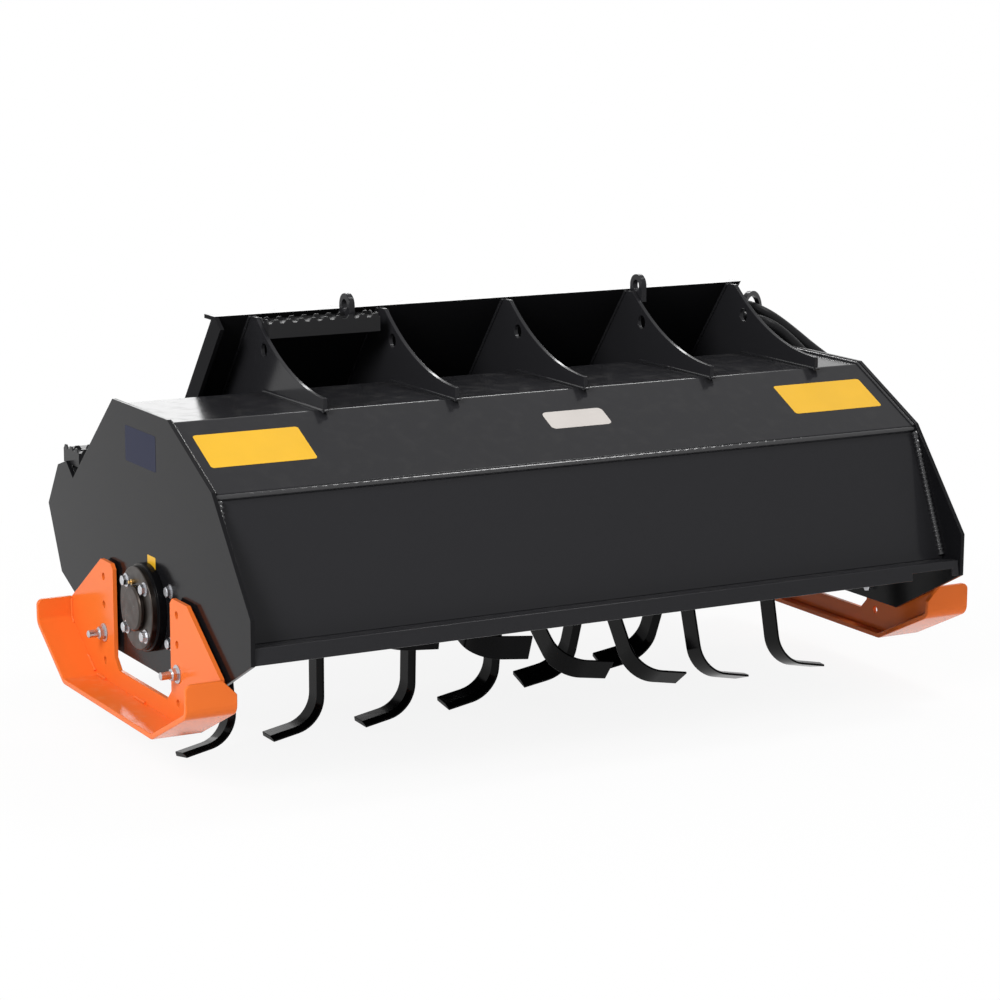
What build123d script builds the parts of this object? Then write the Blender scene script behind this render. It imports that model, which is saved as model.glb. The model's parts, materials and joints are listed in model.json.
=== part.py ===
"""Skid-steer rotary tiller: a folded steel hood over a hydraulically driven tine rotor, carried on a loader coupler.

Housing frame, millimetres: X runs across the machine, Y to the rear (towards the loader that carries it) and Z up.
x = 0 is midway between the side plates, and y = z = 0 is the lowest front corner of a side plate.
The finished row is moved so that its origin is the centre of the coupler plate's rear face.
"""

from build123d import *
from math import cos, hypot, radians, sin
import os

os.makedirs("parts", exist_ok=True)

# ---------------------------------------------------------------- hood
WIDTH = 1505.0            # over the two side plates
SIDE_T = 8.0              # side plate
SKIN_T = 6.0              # folded sheets of the hood
SHEET_INSET = 6.0         # side plates stand this far past the sheets between them

DECK_Z = 478.0            # top edge of the side plates
DECK_FRONT_Y = 148.0
DECK_REAR_Y = 411.0
DECK_SHEET_REAR_Y = 392.0  # where the deck sheet turns down to the rear
BROW_Y = -45.0            # front corner between the sloping brow and the nose
BROW_Z = 380.0
NOSE_Y = -203.0
NOSE_TOP_Z = 187.0
NOSE_FOOT_Z = 106.0
SOLE_REAR_Y = 466.0       # rear end of the side plates' straight bottom edge
HEEL_Y = 629.0
HEEL_Z = 64.0
TAIL_Y = 701.0
TAIL_Z = 94.0
EAR_TIP_Y = 765.0         # rearmost corner of the side plates
EAR_TIP_Z = 220.0
EAR_TOP_Y = 707.0
EAR_TOP_Z = 306.0
EAR_FRONT_Y = 662.0
EAR_FRONT_Z = 320.0
NOTCH_Y = 627.0           # corner between the rear slope and the ear
NOTCH_Z = 292.0

PANEL_FOOT_Y = -148.0     # foot of the recessed front panel
LEDGE_Z = 130.0           # front edge angle: height of its ledge at the panel
LEDGE_FRONT_Y = -197.0
LEDGE_RISE = 6.0          # the ledge climbs this much towards its lip
LIP_DROP = 30.0
ANGLE_T = 7.0
LIP_NOTCH_W = 96.0        # cut-out in the lip that clears the right skid's bolt
LIP_NOTCH_FROM_SIDE = 14.0
LIP_NOTCH_DEPTH = 14.0

# ---------------------------------------------------------------- loader coupler
RIDGE_Y = 453.0           # upper front edge of the coupler plate
RIDGE_Z = 611.0
COUPLER_LEAN = 38.5       # degrees from upright, foot to the rear
COUPLER_OVERHANG = 3.0     # its foot reaches this far below the beam's lower corner
COUPLER_T = 8.0
COUPLER_SIDE_GAP = 92.5   # from its right end to the right side plate's outer face
LIP_DEPTH = 48.0          # hooked top edge that the loader's plate lifts under
TOE_DEPTH = 64.0          # lower flange with the latch pin slots
PIN_SLOT_L = 50.0
PIN_SLOT_W = 30.0
PIN_SPACING = 1016.0
PIN_EDGE = 85.5           # from a pin slot's centre to the end of the plate
END_FLANGE = 35.0         # end flange folded forward at the left

GUSSET_T = 8.0
GUSSET_SHARES = (0.0657, 0.2940, 0.5274, 0.7683, 0.9756)  # of the coupler plate's width, from the left
GUSSET_BELOW_RIDGE = 3.0
GUSSET_TIP_Y = 133.0      # front tip of a gusset on the deck
GUSSET_TIP_H = 23.5
GUSSET_TOP_FRONT_Y = 427.0
GUSSET_SAG = 27.5         # how far the front edge bows in from its chord
TIE_HOLE_R = 13.5
TIE_HOLE_Y = 392.0
TIE_HOLE_Z = 550.0

EYE_T = 12.0
EYE_SHARES = (0.2249, 0.7776)  # of the coupler plate's width, from the left
EYE_W = 46.0
EYE_RISE = 32.0           # above the ridge
EYE_DROP = 60.0           # below the ridge, where it is welded to the coupler plate
EYE_HOLE_R = 11.0

# ---------------------------------------------------------------- steps
STEP_GAP = 29.0           # between the upper step and the second gusset
STEP_PROUD = 42.0         # upper step reaches this far in front of the gussets' tops
STEP_EYE_GAP = 1.0
STEP_H = 28.0
STEP_T = 3.0
STEP_Z = 600.0            # tread of the upper step
LOWER_STEP_GAP = 11.5     # between the lower step and the coupler plate
LOWER_STEP_Y = 612.0
LOWER_STEP_DEPTH = 82.0
STEP_HOLE_R = 9.0
STEP_HOLE_PITCH = 40.0
TOOTH_PITCH = 25.6        # wave-cut teeth along the steps' upper edges
TOOTH_H = 7.0
TOOTH_SLANT = 5.0
TOOTH_ROW_SHARE = 0.6     # second row of teeth, as a share of the tread's depth

# ---------------------------------------------------------------- skids
SKID_GAP = 6.0            # spacer between side plate and skid plate
SKID_T = 8.0
RUNNER_T = 10.0
RUNNER_W = 69.0           # outboard of the skid plate
RUNNER_IN = 28.0          # inboard of the skid plate's outer face
RUNNER_BEND_R = 14.0      # inside its bends
RUNNER_OUTER_CORNER_R = 12.0
RUNNER_INNER_CORNER = 27.0  # cut off beside the side plate's lower edge
SKID_HOLE_R = 7.0
SKID_FRONT_Y = 88.0       # front column of height holes
SKID_REAR_Y = 441.0
SKID_TOP_HOLE_Z = 137.0
SKID_PITCH = 54.0
SKID_HOLES = 4
SKID_BOLTED = 2           # which hole, from the top, takes the bolt
SKID_TOP_MARGIN = 26.0    # plate above the top hole
SKID_REAR_STEP = 6.0      # the rear leg stands this much taller
SKID_FRONT_EDGE = 46.0    # front leg, from its holes to the front edge
SKID_FRONT_INSIDE = 30.0  # from its holes to the opening
SKID_REAR_EDGE = 12.0
SKID_REAR_INSIDE = 48.0
SKID_SLANT = 10.0         # slant of the legs' inner top corners
SKID_SADDLE = 34.0        # height of the opening's foot above the sole
SKID_SADDLE_CUT = 20.0    # slant of the opening's lower corners
RUNNER_Z = -73.0          # underside of the runner
RUNNER_FRONT_Y = 50.0     # where the straight sole turns up
RUNNER_REAR_Y = 482.0
TOE_LIP_Y = -103.0
TOE_LIP_Z = 10.0
TOE_TOP_Z = 63.0
TAIL_LIP_Y = 612.0
TAIL_LIP_Z = 22.0
TAIL_TOP_Z = 64.0
SKID_BOLT_R = 6.5
NUT_R = 11.0
NUT_T = 11.0
STUD_OUT = 34.0

# ---------------------------------------------------------------- rotor
ROTOR_Y = 247.0
ROTOR_Z = 118.0
TUBE_R = 44.5
JOURNAL_R = 25.0
JOURNAL_OUT = 22.0        # how far a journal reaches past the side plate's outer face
END_GAP = 10.0            # between the tube's end plate and the side plate
FLANGE_R = 105.0
FLANGE_T = 8.0
FIRST_FLANGE_X = -607.0
FLANGE_PITCH = 197.0
# For each flange from the left, the angle from straight down (positive to the rear) of one tine of each
# hand; its twin stands opposite.  The end flanges carry only the tines whose feet point outwards.
LEFT_HAND_ANGLES = (-10.0, 0.0, 2.0, 9.0, 19.5, 24.0, None)
RIGHT_HAND_ANGLES = (None, -80.0, -70.0, -52.0, -36.5, -18.0, -14.0)
SWING_R = 282.0
TINE_T = 9.0
TINE_W = 50.5
TINE_ROOT_R = 56.0        # inner end of a tine's shank
TINE_BEND_R = 62.0
TINE_REACH = 101.5        # from the shank's middle to the tip
TINE_DROP = 24.0          # the foot runs out by this much from bend to tip
TINE_EDGE_W = 16.0        # ground slope along the leading edge
TINE_EDGE_T = 5.0

# ---------------------------------------------------------------- bearings and drive
RING_R = 82.0
RING_T = 15.0
DISC_R = 77.0
DISC_T = 12.0
CAP_R = 42.0
CAP_T = 10.0
HUB_BOLT_CIRCLE_R = 62.0
HUB_BOLT_R = 10.0
PLATE_BOLT_Y = 148.0      # two more bolts on the side plate in front of the bearing
PLATE_BOLT_Z = (70.0, 166.0)
BORE_GAP = 0.05
HUB_HOLE_R = 60.0         # opening in the side plate round the rotor shaft
CASE_R = 86.0
CASE_TOP_R = 72.0
CASE_T = 52.0
COVER_T = 6.0
COVER_EDGE = 8.0
MOTOR_Y = 340.0
MOTOR_Z = 300.0
MOTOR_R = 50.0
MOTOR_LENGTH = 112.0
MOTOR_FLANGE_R = 62.0
MOTOR_FLANGE_T = 16.0
PORT_R = 17.5
PORT_H = 14.0
HOSE_R = 13.0
HOSE_SIDES = 12
FERRULE_R = 17.0
FERRULE_LENGTH = 34.0
COUPLING_R = 17.0
COUPLING_LENGTH = 72.0

GUIDE_ROD_R = 5.0         # ring that carries the hoses past the coupler
GUIDE_FROM_GUSSET = 68.0  # from the last gusset's face to the ring's centre
GUIDE_Y = 480.0
GUIDE_Z = 535.0
GUIDE_R = 45.0
GUIDE_TURN = 32.0         # degrees that the ring is turned to face the hoses
GUIDE_STEM_R = 4.0

INNER_X = WIDTH / 2 - SIDE_T
OUTER_X = WIDTH / 2
COUPLER_RIGHT_X = OUTER_X - COUPLER_SIDE_GAP
COUPLER_WIDTH = PIN_SPACING + 2 * PIN_EDGE
COUPLER_LEFT_X = COUPLER_RIGHT_X - COUPLER_WIDTH
GUSSET_X = [COUPLER_LEFT_X + share * COUPLER_WIDTH for share in GUSSET_SHARES]
EYE_X = [COUPLER_LEFT_X + share * COUPLER_WIDTH for share in EYE_SHARES]
GUIDE_X = GUSSET_X[-1] + GUSSET_T / 2 + GUIDE_FROM_GUSSET


# ---------------------------------------------------------------- drawing helpers
def unit(p, q):
    """Direction from p to q."""
    length = hypot(q[0] - p[0], q[1] - p[1])
    return ((q[0] - p[0]) / length, (q[1] - p[1]) / length)


def meet(p, d, q, e):
    """Where the line through p along d crosses the line through q along e."""
    along = ((q[0] - p[0]) * e[1] - (q[1] - p[1]) * e[0]) / (d[0] * e[1] - d[1] * e[0])
    return (p[0] + along * d[0], p[1] + along * d[1])


def beside(points, distance):
    """The chain of points moved sideways to its right, with mitred corners and square ends."""
    lines = []
    for p, q in zip(points, points[1:]):
        d = unit(p, q)
        lines.append(((p[0] + distance * d[1], p[1] - distance * d[0]), d))
    moved = [lines[0][0]]
    for (p, d), (q, e) in zip(lines, lines[1:]):
        moved.append(meet(p, d, q, e))
    d = lines[-1][1]
    moved.append((points[-1][0] + distance * d[1], points[-1][1] - distance * d[0]))
    return moved


def across(points, x_from, x_to):
    """A (y, z) outline swept across the machine from one x to another."""
    section = make_face(Polyline(*points, close=True))
    return extrude(Plane.YZ.offset(x_from) * section, amount=x_to - x_from)


def rod(radius, length, start, direction):
    """A round bar from start along direction."""
    return extrude(Plane(start, z_dir=direction) * Circle(radius), amount=length)


def hexagon(radius, length, start, direction):
    """A bolt head or nut from start along direction."""
    return extrude(Plane(start, z_dir=direction) * RegularPolygon(radius, 6), amount=length)


def mirrored(piece):
    """The same piece on the other side of the machine."""
    return mirror(piece, Plane.YZ)


# ---------------------------------------------------------------- lines that the hood's pieces share
brow = (BROW_Y, BROW_Z)
deck_front = (DECK_FRONT_Y, DECK_Z)
deck_rear = (DECK_REAR_Y, DECK_Z)
notch = (NOTCH_Y, NOTCH_Z)
ear_front = (EAR_FRONT_Y, EAR_FRONT_Z)
ear_top = (EAR_TOP_Y, EAR_TOP_Z)
ear_tip = (EAR_TIP_Y, EAR_TIP_Z)
tail = (TAIL_Y, TAIL_Z)
heel = (HEEL_Y, HEEL_Z)
sole_rear = (SOLE_REAR_Y, 0.0)
side_outline = [
    brow, deck_front, deck_rear, notch, ear_front, ear_top, ear_tip, tail, heel, sole_rear,
    (0.0, 0.0), (NOSE_Y, NOSE_FOOT_Z), (NOSE_Y, NOSE_TOP_Z),
]

# coupler plate: its front face runs from the ridge down to the foot
slope = (sin(radians(COUPLER_LEAN)), -cos(radians(COUPLER_LEAN)))
outward = (-slope[1], slope[0])
ridge = (RIDGE_Y, RIDGE_Z)

# outer line of the hood's sheets, a little inside the side plates' edges
inset = beside([brow, deck_front, deck_rear, notch, ear_front, ear_top, ear_tip, tail, heel, sole_rear], SHEET_INSET)
brow_in, deck_front_in, _, notch_in, ear_front_in, _, _, tail_in, heel_in, _ = inset
deck_back = (DECK_SHEET_REAR_Y, deck_front_in[1])
beam_top = meet(ear_front_in, unit(ear_front, ear_top), ridge, slope)
beam_foot = meet(tail_in, unit(tail, ear_tip), ridge, slope)
foot = (beam_foot[0] + COUPLER_OVERHANG * slope[0], beam_foot[1] + COUPLER_OVERHANG * slope[1])
hood_line = [brow_in, deck_front_in, deck_back, notch_in, ear_front_in, beam_top, beam_foot, tail_in, heel_in]
hood_lining = beside(hood_line, SKIN_T)


def hood_sheet(first, last):
    """One folded sheet between two corners of the hood line, mitred to its neighbours."""
    outline = hood_line[first:last + 1] + hood_lining[first:last + 1][::-1]
    return across(outline, -INNER_X, INNER_X)


def skid_bolt_z(hole):
    """Height of a skid plate's hole, counted from the top."""
    return SKID_TOP_HOLE_Z - hole * SKID_PITCH


# ---------------------------------------------------------------- hood pieces
def side_plate():
    """Left side plate with the rotor opening and one bolt hole for each skid column."""
    plate = across(side_outline, -OUTER_X, -INNER_X)
    plate -= rod(HUB_HOLE_R, SIDE_T, (-OUTER_X, ROTOR_Y, ROTOR_Z), (1, 0, 0))
    for y in (SKID_FRONT_Y, SKID_REAR_Y):
        plate -= rod(SKID_HOLE_R, SIDE_T, (-OUTER_X, y, skid_bolt_z(SKID_BOLTED)), (1, 0, 0))
    return plate


def front_angle_line():
    """Outer line of the front edge angle: up the lip, then back along the ledge."""
    ledge_rear = (PANEL_FOOT_Y + 2 * SKIN_T, LEDGE_Z - 1.0)
    lip_top = (LEDGE_FRONT_Y, LEDGE_Z + LEDGE_RISE)
    return [(LEDGE_FRONT_Y - 4.0, lip_top[1] - LIP_DROP), lip_top, ledge_rear]


def front_edge_angle():
    """Angle that stiffens the hood's lower front edge, its lip cut away beside the right skid bolt."""
    line = front_angle_line()
    angle = across(line + beside(line, ANGLE_T)[::-1], -INNER_X, INNER_X)
    notch_right = INNER_X - LIP_NOTCH_FROM_SIDE
    cut = Box(LIP_NOTCH_W, 4 * ANGLE_T, LIP_NOTCH_DEPTH * 2)
    return angle - Pos(notch_right - LIP_NOTCH_W / 2, line[0][0], line[0][1]) * cut


def front_panel():
    """Recessed front sheet, standing on the ledge and closed above by the underside of the brow."""
    ledge = front_angle_line()[1:]
    along_ledge = unit(*ledge)
    along_brow = unit(brow_in, deck_front_in)
    under_brow = hood_lining[0]
    line = [(PANEL_FOOT_Y, LEDGE_Z), under_brow]
    d = unit(*line)
    inner = beside(line, SKIN_T)[0]
    outline = [
        meet(line[0], d, ledge[0], along_ledge),
        under_brow,
        meet(inner, d, under_brow, along_brow),
        meet(inner, d, ledge[0], along_ledge),
    ]
    return across(outline, -INNER_X, INNER_X)


# ---------------------------------------------------------------- coupler pieces
def coupler_plate():
    """Bent loader coupler plate: hooked lip above, slotted toe below, end flange folded forward at the left."""
    toe_tip = (foot[0] + TOE_DEPTH * outward[0], foot[1] + TOE_DEPTH * outward[1])
    lip_tip = (ridge[0] + LIP_DEPTH, ridge[1])
    line = [toe_tip, foot, ridge, lip_tip]
    plate = across(line + beside(line, COUPLER_T)[::-1], COUPLER_LEFT_X, COUPLER_RIGHT_X)
    front_ridge = (ridge[0] - END_FLANGE * outward[0], ridge[1] - END_FLANGE * outward[1])
    front_foot = meet(front_ridge, slope, beam_top, unit(hood_line[4], hood_line[5]))
    plate += across([beam_top, ridge, front_ridge, front_foot], COUPLER_LEFT_X, COUPLER_LEFT_X + COUPLER_T)
    centre_x = (COUPLER_LEFT_X + COUPLER_RIGHT_X) / 2
    middle = COUPLER_T + (TOE_DEPTH - COUPLER_T) / 2
    for side in (-1, 1):
        start = (centre_x + side * PIN_SPACING / 2, foot[0] + middle * outward[0], foot[1] + middle * outward[1])
        slot = Plane(start, x_dir=(1, 0, 0), z_dir=(0, slope[0], slope[1])) * SlotOverall(PIN_SLOT_L, PIN_SLOT_W)
        plate -= extrude(slot, amount=COUPLER_T * 2, both=True)
    return plate


def gusset(x):
    """Web between deck and coupler plate, its front edge bowed in and a tie hole near its top."""
    deck_z = deck_front_in[1]
    top_z = RIDGE_Z - GUSSET_BELOW_RIDGE
    top_rear = meet((0.0, top_z), (1.0, 0.0), ridge, slope)
    rear_foot = meet(hood_line[4], unit(hood_line[4], hood_line[5]), ridge, slope)
    tip = (GUSSET_TIP_Y, deck_z)
    tip_top = (GUSSET_TIP_Y, deck_z + GUSSET_TIP_H)
    top_front = (GUSSET_TOP_FRONT_Y, top_z)
    d = unit(tip_top, top_front)
    bow = (
        (tip_top[0] + top_front[0]) / 2 + GUSSET_SAG * d[1],
        (tip_top[1] + top_front[1]) / 2 - GUSSET_SAG * d[0],
    )
    edge = [
        Line(tip, tip_top),
        ThreePointArc(tip_top, bow, top_front),
        Polyline(top_front, top_rear, rear_foot, hood_line[4], hood_line[3], deck_back, tip),
    ]
    web = extrude(Plane.YZ.offset(x - GUSSET_T / 2) * make_face(edge), amount=GUSSET_T)
    return web - rod(TIE_HOLE_R, GUSSET_T, (x - GUSSET_T / 2, TIE_HOLE_Y, TIE_HOLE_Z), (1, 0, 0))


def lifting_eye(x):
    """Round-topped lug welded to the front of the coupler plate."""
    low = (ridge[0] + EYE_DROP * slope[0], ridge[1] + EYE_DROP * slope[1])
    high = (ridge[0], ridge[1] + EYE_RISE)
    r = EYE_W / 2
    centre_y = ridge[0] - r
    lug = make_face(Polyline(
        (centre_y - r, high[1] - r), (centre_y + r, high[1] - r), (centre_y + r, ridge[1]), low,
        (centre_y - r, ridge[1] - r), close=True))
    lug += Pos(centre_y, high[1] - r) * Circle(r)
    lug -= Pos(centre_y, high[1] - r) * Circle(EYE_HOLE_R)
    return extrude(Plane.YZ.offset(x - EYE_T / 2) * lug, amount=EYE_T)


# ---------------------------------------------------------------- steps
def teeth(length):
    """Outline of a wave-cut strip along the horizontal axis, standing on the tread."""
    count = round(length / TOOTH_PITCH)
    pitch = length / count
    points = [(0.0, -STEP_T), (0.0, 0.0)]
    for k in range(count):
        valley = k * pitch + pitch / 4
        crest = k * pitch + 3 * pitch / 4
        points += [(valley, 0.0), (valley + TOOTH_SLANT, TOOTH_H), (crest, TOOTH_H), (crest + TOOTH_SLANT, 0.0)]
    return make_face(Polyline(*points, (length, 0.0), (length, -STEP_T), close=True))


def step_tread(x_from, width, y_from, y_to, z_top):
    """Perforated tread, its front and end edges turned down and all but the rear edge topped with teeth."""
    depth = y_to - y_from
    middle = (x_from + width / 2, y_from + depth / 2, z_top - STEP_H / 2)
    tread = Pos(*middle) * Box(width, depth, STEP_H)
    hollow = Box(width - 2 * STEP_T, depth, STEP_H)
    tread -= Pos(middle[0], middle[1] + STEP_T, middle[2] - STEP_T) * hollow
    for y in (y_from + STEP_T, y_from + depth * TOOTH_ROW_SHARE):
        tread += extrude(Plane((x_from, y, z_top), x_dir=(1, 0, 0), z_dir=(0, -1, 0)) * teeth(width), amount=STEP_T)
    for x in (x_from, x_from + width - STEP_T):
        tread += extrude(Plane((x, y_from, z_top), x_dir=(0, 1, 0), z_dir=(1, 0, 0)) * teeth(depth), amount=STEP_T)
    count = int(width / STEP_HOLE_PITCH)
    for i in range(count):
        x = x_from + width * (i + 0.5) / count
        tread -= rod(STEP_HOLE_R, 2 * STEP_T, (x, y_from + depth / 3, z_top - 1.5 * STEP_T), (0, 0, 1))
    return tread


def upper_step():
    """Step between the first two gussets, slotted for the left lifting eye."""
    x_from = GUSSET_X[0] + GUSSET_T / 2
    width = GUSSET_X[1] - GUSSET_T / 2 - STEP_GAP - x_from
    y_to = meet((0.0, STEP_Z), (1.0, 0.0), ridge, slope)[0]
    tread = step_tread(x_from, width, GUSSET_TOP_FRONT_Y - STEP_PROUD, y_to, STEP_Z)
    slot = Box(EYE_T + 2 * STEP_EYE_GAP, 2 * (EYE_W + STEP_EYE_GAP), 4 * STEP_H)
    return tread - Pos(EYE_X[0], ridge[0], STEP_Z) * slot


def lower_step():
    """Step at the left rear corner, resting on the beam's top fold."""
    z_top = ear_front_in[1] + STEP_H
    width = COUPLER_LEFT_X - LOWER_STEP_GAP + INNER_X
    return step_tread(-INNER_X, width, LOWER_STEP_Y, LOWER_STEP_Y + LOWER_STEP_DEPTH, z_top)


# ---------------------------------------------------------------- skids
def runner_line():
    """Corners of the left runner's upper side, from the toe's top over the sole to the tail's top."""
    sole = RUNNER_Z + RUNNER_T
    return [
        (TOE_LIP_Y, TOE_TOP_Z), (TOE_LIP_Y, TOE_LIP_Z), (RUNNER_FRONT_Y, sole),
        (RUNNER_REAR_Y, sole), (TAIL_LIP_Y, TAIL_LIP_Z), (TAIL_LIP_Y, TAIL_TOP_Z),
    ]


def runner_edge(depth):
    """The runner's line with rounded bends, at some depth below its upper side."""
    return FilletPolyline(*beside(runner_line(), depth), radius=RUNNER_BEND_R + depth)


def skid_plate():
    """Upright U-shaped plate with two columns of height holes."""
    upper = runner_edge(0)
    top = SKID_TOP_HOLE_Z + SKID_TOP_MARGIN
    rear_top = top + SKID_REAR_STEP
    rear_in = SKID_REAR_Y - SKID_REAR_INSIDE
    front_in = SKID_FRONT_Y + SKID_FRONT_INSIDE
    saddle = RUNNER_Z + RUNNER_T + SKID_SADDLE
    legs = Polyline(
        upper @ 1, (SKID_REAR_Y + SKID_REAR_EDGE, rear_top), (rear_in + SKID_SLANT, rear_top),
        (rear_in, rear_top - SKID_SLANT), (rear_in, saddle + SKID_SADDLE_CUT), (rear_in - SKID_SADDLE_CUT, saddle),
        (front_in + SKID_SADDLE_CUT, saddle), (front_in, saddle + SKID_SADDLE_CUT), (front_in, top - SKID_SLANT),
        (front_in - SKID_SLANT, top), (SKID_FRONT_Y - SKID_FRONT_EDGE, top), upper @ 0)
    x = -OUTER_X - SKID_GAP - SKID_T
    plate = extrude(Plane.YZ.offset(x) * make_face([upper, legs]), amount=SKID_T)
    for y in (SKID_FRONT_Y, SKID_REAR_Y):
        for hole in range(SKID_HOLES):
            plate -= rod(SKID_HOLE_R, SKID_T, (x, y, skid_bolt_z(hole)), (1, 0, 0))
    return plate


def skid_runner():
    """Folded sole with upturned toe and tail, welded under the skid plate and standing out beyond it."""
    upper = runner_edge(0)
    lower = runner_edge(RUNNER_T)
    section = make_face([upper, Line(upper @ 1, lower @ 1), lower, Line(lower @ 0, upper @ 0)])
    face = -OUTER_X - SKID_GAP - SKID_T
    runner = extrude(Plane.YZ.offset(face - RUNNER_W) * section, amount=RUNNER_W + RUNNER_IN)
    corners = runner.edges().filter_by(Axis.Y).filter_by(lambda edge: edge.length < 2 * RUNNER_T).sort_by(Axis.X)
    runner = fillet(corners[:2], RUNNER_OUTER_CORNER_R)
    corners = runner.edges().filter_by(Axis.Y).filter_by(lambda edge: edge.length < 2 * RUNNER_T).sort_by(Axis.X)
    return chamfer(corners[-2:], RUNNER_INNER_CORNER)


def skid_bolts():
    """Bolts, nuts and spacers that hold the left skid at its working height, as solids that do not touch."""
    pieces = []
    for y in (SKID_FRONT_Y, SKID_REAR_Y):
        z = skid_bolt_z(SKID_BOLTED)
        face = -OUTER_X - SKID_GAP - SKID_T
        bolt = rod(SKID_BOLT_R, STUD_OUT + SKID_T + SKID_GAP + SIDE_T, (face - STUD_OUT, y, z), (1, 0, 0))
        bolt += hexagon(NUT_R, NUT_T, (-INNER_X, y, z), (1, 0, 0))
        bolt += hexagon(NUT_R, NUT_T, (face - NUT_T, y, z), (1, 0, 0))
        bolt += rod(NUT_R, SKID_GAP, (-OUTER_X - SKID_GAP, y, z), (1, 0, 0))
        pieces.append(bolt)
    return pieces


# ---------------------------------------------------------------- rotor
def flange_x(k):
    """Middle of a tine flange, counted from the left."""
    return FIRST_FLANGE_X + k * FLANGE_PITCH


def rotor_shaft():
    """Tube with journals, and the flanges that carry the tines."""
    half = INNER_X - END_GAP
    shaft = rod(TUBE_R, 2 * half, (-half, ROTOR_Y, ROTOR_Z), (1, 0, 0))
    journal_end = OUTER_X + JOURNAL_OUT
    shaft += rod(JOURNAL_R, 2 * journal_end, (-journal_end, ROTOR_Y, ROTOR_Z), (1, 0, 0))
    for k in range(len(LEFT_HAND_ANGLES)):
        shaft += rod(FLANGE_R, FLANGE_T, (flange_x(k) - FLANGE_T / 2, ROTOR_Y, ROTOR_Z), (1, 0, 0))
    return shaft


def tine_blank():
    """One left-hand tine hanging straight down from the rotor's axis: its foot points to -X, its edge leads to -Y."""
    bend = SWING_R - TINE_DROP
    path = FilletPolyline((0, -TINE_ROOT_R), (0, -bend), (-TINE_REACH, -SWING_R + TINE_T / 2), radius=TINE_BEND_R)
    strip = trace(path, TINE_T)
    blade = extrude(Plane.XZ.offset(-TINE_W / 2) * strip, amount=TINE_W)
    arc_centre = path.edges().filter_by(GeomType.CIRCLE)[0].arc_center
    inside = Vertex(arc_centre.X, -TINE_W / 2, arc_centre.Y)
    leading = blade.faces().sort_by(Axis.Y)[0]
    inner = [edge for edge in leading.edges() if edge.distance_to(inside) < TINE_BEND_R]
    return chamfer(inner, TINE_EDGE_T, TINE_EDGE_W, reference=leading)


def tine_set(hand):
    """All tines of one hand (-1 with feet to the left, +1 to the right), bolted to their flanges."""
    blank = tine_blank() if hand < 0 else mirrored(tine_blank())
    tines = []
    for k, angle in enumerate(LEFT_HAND_ANGLES if hand < 0 else RIGHT_HAND_ANGLES):
        if angle is None:
            continue
        x = flange_x(k) + hand * (FLANGE_T + TINE_T) / 2
        for turn in (angle, angle + 180.0):
            tines.append(Pos(x, ROTOR_Y, ROTOR_Z) * Rot(X=turn) * blank)
    return tines


# ---------------------------------------------------------------- bearings and drive
def bearing_housing():
    """Left bearing: a turned housing on the side plate, bored for the journal."""
    housing = rod(RING_R, RING_T, (-OUTER_X, ROTOR_Y, ROTOR_Z), (-1, 0, 0))
    housing += rod(DISC_R, DISC_T, (-OUTER_X - RING_T, ROTOR_Y, ROTOR_Z), (-1, 0, 0))
    bore = rod(JOURNAL_R + BORE_GAP, RING_T + DISC_T, (-OUTER_X, ROTOR_Y, ROTOR_Z), (-1, 0, 0))
    return housing - bore


def bearing_cap():
    """Chamfered cap over the left journal."""
    start = -OUTER_X - RING_T - DISC_T
    cap = rod(CAP_R, CAP_T, (start, ROTOR_Y, ROTOR_Z), (-1, 0, 0))
    return chamfer(cap.faces().sort_by(Axis.X)[0].edges(), CAP_T / 3)


def bearing_bolts():
    """Four hexagon bolts on the bearing's disc, and two on the side plate in front of it."""
    start_x = -OUTER_X - RING_T - DISC_T
    bolts = []
    for k in range(4):
        angle = radians(45 + 90 * k)
        y = ROTOR_Y + HUB_BOLT_CIRCLE_R * cos(angle)
        z = ROTOR_Z + HUB_BOLT_CIRCLE_R * sin(angle)
        bolts.append(hexagon(HUB_BOLT_R, HUB_BOLT_R, (start_x, y, z), (-1, 0, 0)))
    for z in PLATE_BOLT_Z:
        bolts.append(hexagon(HUB_BOLT_R, HUB_BOLT_R, (-OUTER_X, PLATE_BOLT_Y, z), (-1, 0, 0)))
    return bolts


def case_outline(edge):
    """Rounded outline of the chain case round rotor and motor shafts, grown by edge."""
    low = Pos(ROTOR_Y, ROTOR_Z) * Circle(CASE_R + edge)
    high = Pos(MOTOR_Y, MOTOR_Z) * Circle(CASE_TOP_R + edge)
    return make_hull((low + high).edges())


def chain_case():
    """Closed chain case on the right side plate, bored for the rotor's right journal."""
    case = extrude(Plane.YZ.offset(OUTER_X) * case_outline(0), amount=CASE_T)
    bore_depth = JOURNAL_OUT + 3.0
    return case - rod(JOURNAL_R + BORE_GAP, bore_depth, (OUTER_X, ROTOR_Y, ROTOR_Z), (1, 0, 0))


def chain_cover():
    """Flanged cover plate of the chain case."""
    return extrude(Plane.YZ.offset(OUTER_X + CASE_T) * case_outline(COVER_EDGE), amount=COVER_T)


def motor_start():
    """Face of the chain cover that carries the motor."""
    return OUTER_X + CASE_T + COVER_T


def hydraulic_motor():
    """Orbital motor: mounting flange, round body and two port bosses on top."""
    x = motor_start()
    motor = rod(MOTOR_FLANGE_R, MOTOR_FLANGE_T, (x, MOTOR_Y, MOTOR_Z), (1, 0, 0))
    motor += rod(MOTOR_R, MOTOR_LENGTH, (x + MOTOR_FLANGE_T, MOTOR_Y, MOTOR_Z), (1, 0, 0))
    for corners in (FRONT_CORNERS, REAR_CORNERS):
        elbow = placed(corners)[0]
        motor += rod(PORT_R, MOTOR_R + PORT_H, (elbow.X, elbow.Y, MOTOR_Z), (0, 0, 1))
    return motor


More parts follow.
